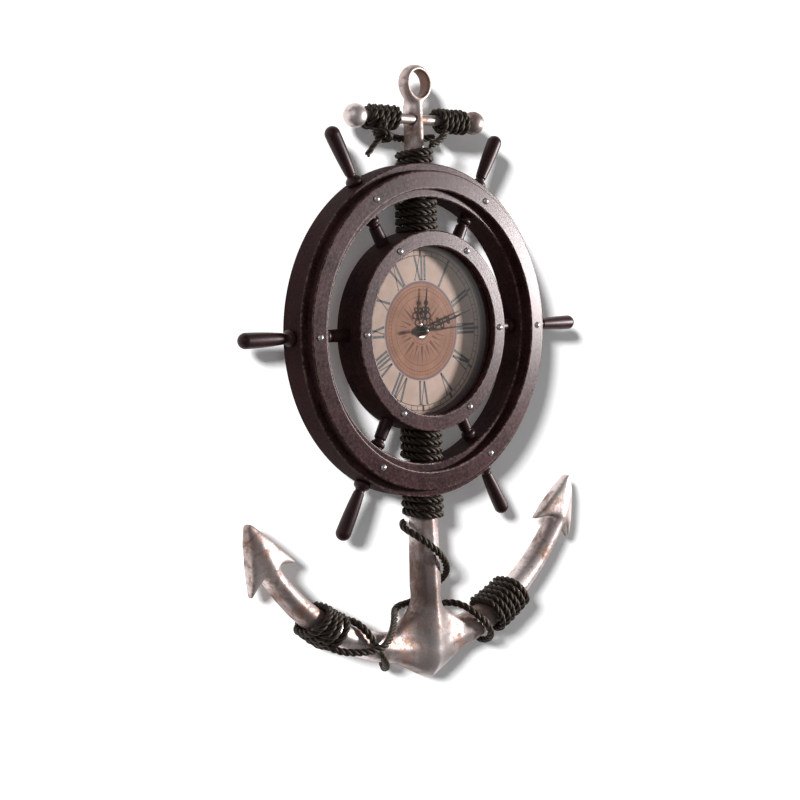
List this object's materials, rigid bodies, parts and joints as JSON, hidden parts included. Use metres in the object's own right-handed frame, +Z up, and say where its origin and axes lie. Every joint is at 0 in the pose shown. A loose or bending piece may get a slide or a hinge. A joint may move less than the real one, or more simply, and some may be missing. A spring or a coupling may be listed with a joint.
{
  "type": "wall clock",
  "caption": "Wall clock in a turned ship's wheel, lashed with rope to a ridged anchor that hangs from a keyhole plate.",
  "frame": {"origin": "middle of the keyhole in the hanger plate, on the flat back of the anchor", "axes": "+X to the right as seen from the room, +Y into the wall, +Z up"},
  "size_m": [0.48, 0.057, 0.6496],
  "materials": {
    "silver_casting": "antique silver leaf, worn to brown on the edges",
    "stock_metal": "silvered, with a gold-brown patina",
    "rope": "dark three-strand rope",
    "rim_wood": "dark reddish-brown stained wood",
    "turned_wood": "dark reddish-brown stained wood, turned",
    "nail_steel": "polished dome heads",
    "screw_steel": "zinc plated",
    "glass": "clear",
    "dial_paper": "printed paper",
    "board": "plain fibre board",
    "hand_black": "black",
    "second_black": "black",
    "movement_shell": "black moulding",
    "gear_plastic": "natural moulding",
    "knob_plastic": "black moulding",
    "brass_nut": "plain",
    "cell": "plain wrapper",
    "contact_metal": "nickel plated",
    "motor_plastic": "coil and stator in one block",
    "circuit": "bare board"
  },
  "bodies": {
    "clock": {"anchor_base": "silver_casting", "anchor_head": "silver_casting", "anchor_screws": "screw_steel", "battery_cell": "cell", "battery_contacts": "contact_metal", "bezel": "rim_wood", "bezel_nails": "nail_steel", "board_screws": "screw_steel", "circuit_board": "circuit", "clock_case": "rim_wood", "dial": "dial_paper", "dial_board": "board", "fixing_nut": "brass_nut", "glass": "glass", "handle_1": "turned_wood", "handle_2": "turned_wood", "handle_3": "turned_wood", "handle_4": "turned_wood", "handle_5": "turned_wood", "handle_6": "turned_wood", "hanger_plate": "screw_steel", "hanger_screws": "screw_steel", "movement_case": "movement_shell", "movement_cover": "movement_shell", "rim_facing": "rim_wood", "rim_nails": "nail_steel", "rope_arm_left": "rope", "rope_arm_right": "rope", "rope_base": "rope", "rope_bridle": "rope", "rope_crown_turns": "rope", "rope_lower": "rope", "rope_neck": "rope", "rope_shank_strand": "rope", "rope_stock_left": "rope", "rope_stock_right": "rope", "rope_tail": "rope", "rope_upper": "rope", "spoke_1": "turned_wood", "spoke_2": "turned_wood", "spoke_3": "turned_wood", "spoke_4": "turned_wood", "spoke_5": "turned_wood", "spoke_6": "turned_wood", "stepper_motor": "motor_plastic", "stock_balls": "stock_metal", "stock_rod": "stock_metal", "washer": "screw_steel", "wheel_rim": "rim_wood"},
    "hour": {"hour_hand": "hand_black", "hour_wheel": "gear_plastic"},
    "minute": {"minute_hand": "hand_black", "centre_wheel": "gear_plastic"},
    "second": {"second_hand": "second_black", "second_wheel": "gear_plastic"},
    "third": {"third_wheel": "gear_plastic"},
    "setting": {"motion_wheel": "gear_plastic", "setting_knob": "knob_plastic"}
  },
  "joints": [
    {"name": "minute_turn", "type": "hinge", "parent": "clock", "child": "minute", "pos_m": [0, 0, -0.22], "axis": [0, 1, 0], "continuous": true},
    {"name": "hour_turn", "type": "hinge", "parent": "clock", "child": "hour", "pos_m": [0, 0, -0.22], "axis": [0, 1, 0], "continuous": true},
    {"name": "second_turn", "type": "hinge", "parent": "clock", "child": "second", "pos_m": [0, 0, -0.22], "axis": [0, 1, 0], "continuous": true},
    {"name": "third_turn", "type": "hinge", "parent": "clock", "child": "third", "pos_m": [0.00774, 0, -0.21351], "axis": [0, 1, 0], "continuous": true},
    {"name": "setting_turn", "type": "hinge", "parent": "clock", "child": "setting", "pos_m": [-0.00827, 0, -0.21306], "axis": [0, 1, 0], "continuous": true}
  ],
  "couplings": [
    {"joint": "hour_turn", "follows": "minute_turn", "ratio": 0.083333},
    {"joint": "second_turn", "follows": "minute_turn", "ratio": 60},
    {"joint": "third_turn", "follows": "minute_turn", "ratio": -8},
    {"joint": "setting_turn", "follows": "minute_turn", "ratio": -0.33333}
  ]
}
